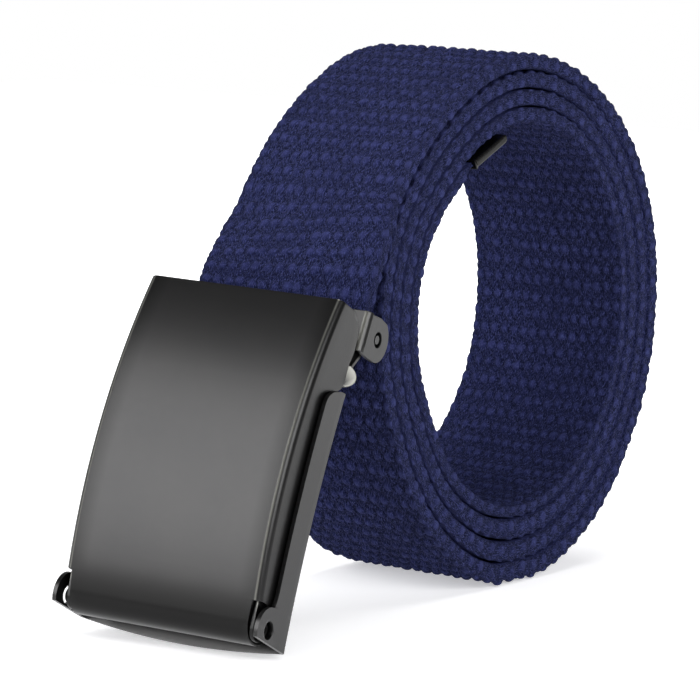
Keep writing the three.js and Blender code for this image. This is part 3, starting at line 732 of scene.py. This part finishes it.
def lug(low):
    front = cover_front(FACE_LOW)
    outline = [(front + 0.3, 4.6)] + arc(2.5, 190, 430, 20) + [(3.6, 4.6)]
    return plate(outline, low, low + SHEET), 0, 0.12, None, [(0, 0, 1.7)]


# Painted shade: the rolled lower end is painted darker below 7.5 mm and the side flanges at 0.55. Painted
# highlight: a bright line along each front fold and on the finger tabs.
def cover_painted_light(x, y, z):
    low = np.clip((7.5 - z) / 6.5, 0, 1)
    painted = np.maximum(low * low * (3 - 2 * low), 0.55 * (np.abs(x) > COVER_HALF - SHEET - 0.1))
    fold = (np.abs(x) > COVER_HALF - 0.8 * FOLD) & (np.abs(x) < COVER_HALF - 0.03) & (z > 4.3)
    fold = fold & (y < cover_front(z) + FOLD + 0.03)
    tab = (y > 5.2) & (abs(z - TAB_HEIGHT) < TAB_RADIUS + 0.05)
    return np.where(tab, -1, np.where(fold, -0.9, painted))


# The cover's colour holds painted shade on its rolled lower end and flanges, and painted highlights along
# its front folds and on its finger tabs.
cover_paint = satin_black("satin_black_cover", 0.026, 0.33, 900.0)
finished(
    "buckle_cover_sheet",
    [(cover_sheet(), SHEET, 0.14),
     finger_tab(1), finger_tab(-1), lug(COVER_HALF - SHEET), lug(-COVER_HALF)],
    "cover", "buckle_cover", slot_name="cover_steel", material=cover_paint, shade=cover_painted_light)


# Buckle base: one pressed steel sheet under the cover. Its bowed floor has two side walls
# with round hinge ears, a bowed lower edge, and at the top a narrower ramp whose end is
# rolled round the clamp's pin.
BASE_HALF = 21.1
BASE_LOW, BASE_HIGH = -2.2, 47.4
EAR = 4.3
FLOOR_CREST, FLOOR_CREST_DEPTH = 42.0, 4.75
FLOOR_RADIUS = 260
WALL_DEPTH = 6.8
SHOULDER_LOW, SHOULDER = 43.4, 4.0
LIP_BOW = 1.5
CLAMP_PIN_DEPTH, CLAMP_PIN_HEIGHT = 14.6, 61.6
RAMP_SHEET = 0.7


def floor_back(height):
    return FLOOR_CREST_DEPTH + (height - FLOOR_CREST) ** 2 / (2 * FLOOR_RADIUS)


def wall_front(height):
    if height <= EAR - 0.001:
        round_ear = -math.sqrt(max(EAR * EAR - height * height, 0))
    else:
        round_ear = 99.0
    straight = floor_back(height) - WALL_DEPTH
    if height > SHOULDER_LOW:
        return straight + 6.6 * (1 - math.sqrt(max(1 - ((height - SHOULDER_LOW) / SHOULDER) ** 2, 0)))
    if height < EAR:
        return round_ear
    if height < 8.6:
        t = (height - EAR) / (8.6 - EAR)
        return straight * (t * (2 - t))
    return straight


def base_rows():
    heights = [BASE_LOW, -1.6, -0.9, 0, 0.9, 1.7, 2.4, 3.0, 3.5, 3.9]
    heights += [4.15, 4.27, 4.35, 4.5, 4.8, 5.4, 6.2, 7.4, 8.6]
    heights += list(np.linspace(10, SHOULDER_LOW, 22))
    heights += [44.4, 45.2, 45.9, 46.5, 46.9, 47.15, 47.3, BASE_HIGH]
    bend = [(FOLD * (1 - math.cos(a)), FOLD * (1 - math.sin(a))) for a in np.linspace(0, math.pi / 2, 6)]
    rows = []
    for height in heights:
        back = floor_back(height)
        front = min(wall_front(height), back - FOLD - 0.3)
        side = [(BASE_HALF, front + (back - FOLD - front) * i / 5) for i in range(5)]
        side += [(BASE_HALF - dx, back - dy) for dx, dy in bend]
        inner = BASE_HALF - FOLD
        row = side + [(inner - 2 * inner * i / 16, back) for i in range(1, 16)]
        row += [(-x, y) for x, y in side[::-1]]
        low = max(0.0, 1 - (height - BASE_LOW) / 9.0) ** 1.5
        rows.append([
            (x, y, height - LIP_BOW * low * max(0.0, 1 - (x / BASE_HALF) ** 2)) for x, y in row])
    return rows


def ramp_rows():
    slope = (CLAMP_PIN_DEPTH - FLOOR_CREST_DEPTH) / (CLAMP_PIN_HEIGHT - BASE_HIGH)
    path = [(FLOOR_CREST_DEPTH + slope * t, BASE_HIGH - 0.6 + t) for t in (0, 0.6, 3, 6, 9, 11.4)]
    path += arc(1.8, 225, -60, 16, CLAMP_PIN_DEPTH, CLAMP_PIN_HEIGHT)
    return [[(19.0 - 38.0 * i / 8, y, z) for i in range(9)] for y, z in path]


frame_paint = satin_black("satin_black_frame", 0.024, 0.32, 1100.0)
finished(
    "buckle_base_sheet",
    [(sheet_grid("base", base_rows()), -SHEET, 0.14, None, [(0, 0, 1.75)]),
     (sheet_grid("ramp", ramp_rows()), RAMP_SHEET, 0.1)],
    "belt", "buckle_base", slot_name="frame_steel", material=frame_paint)


# Strap clamp: a folded steel jaw with two round ears. It turns on a pin and grips the
# strap's fixed end against the ramp.
CLAMP_HALF = 20.1
CLAMP_FRONT = 8.4


def clamp_rows():
    rows = []
    bend = [(FOLD * (1 - math.cos(a)), FOLD * (1 - math.sin(a))) for a in np.linspace(0, math.pi / 2, 6)]
    half = CLAMP_HALF
    for height in (57.1, 58.5, 60, 61.6, 63.2, 65.0):
        side = [(half - dx, CLAMP_FRONT + dy) for dx, dy in bend]
        row = side + [(half - FOLD - 2 * (half - FOLD) * i / 10, CLAMP_FRONT) for i in range(1, 10)]
        row += [(-x, y) for x, y in side[::-1]]
        rows.append([(x, y, height) for x, y in row])
    return rows


def clamp_ear(low):
    outline = [(9.0, 57.1), (12.6, 57.1)] + arc(4.4, -78, 62, 18, CLAMP_PIN_DEPTH, CLAMP_PIN_HEIGHT)
    outline += [(13.6, 65.7), (9.0, 65.0)]
    return plate(outline, low, low + SHEET), 0, 0.14, None, [(CLAMP_PIN_DEPTH, CLAMP_PIN_HEIGHT, 1.5)]


# Painted highlight: a bright line along each fold of the jaw's front.
def clamp_painted_highlight(x, y, z):
    across = np.abs(x)
    return -0.9 * ((across > CLAMP_HALF - 0.8 * FOLD) & (across < CLAMP_HALF - 0.03) & (y < 9))


finished(
    "strap_clamp_jaw",
    [(sheet_grid("jaw", clamp_rows()), SHEET, 0.14), clamp_ear(CLAMP_HALF - SHEET), clamp_ear(-CLAMP_HALF)],
    "belt", "strap_clamp", slot_name="frame_steel", material=frame_paint, shade=clamp_painted_highlight)

# Clamp pin and hinge rivets: a plain steel pin through the clamp's ears, and a hollow rivet
# through each hinge ear. They keep the solids' own shape and get the frame's black paint.
for node in ("clamp_pin", "hinge_rivet_right", "hinge_rivet_left"):
    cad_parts[node].material_slots[0].material = frame_paint

# Belt tip: a thin steel sheet folded into a flat cap and pressed on the strap's free end,
# painted gloss black, with rounded edges and a slightly raised mouth.
TIP_HALF = 19.4
TIP_WALL_TO_WALL = 1.8
tip_heading = tip_direction()
tip_width = Vector((1, 0, 0))
tip_turn = Matrix((tip_width, tip_heading.cross(tip_width), tip_heading)).transposed()
half = TIP_WALL_TO_WALL / 2
tip_middle = coil_point(TIP_TURN) + TIP_OUTWARD * coil_outwards(TIP_TURN)
cap = [(-half, 0.9), (-half, TIP_LENGTH - 0.8), (-half + 0.35, TIP_LENGTH - 0.2), (0, TIP_LENGTH)]
cap += [(-y, z) for y, z in cap[::-1]][1:]
lip = [(-half - 0.12, 0.2), (-half - 0.12, 0.9), (half + 0.12, 0.9), (half + 0.12, 0.2)]
tip_paint = satin_black("gloss_black_tip", 0.008, 0.14, 900.0)
finished(
    "belt_tip_cap",
    [(plate(cap, -TIP_HALF, TIP_HALF), 0, 0.3), (plate(lip, -TIP_HALF - 0.15, TIP_HALF + 0.15), 0, 0.2)],
    "belt", "belt_tip", slot_name="tip_steel", material=tip_paint, turn=tip_turn, origin=tip_middle)
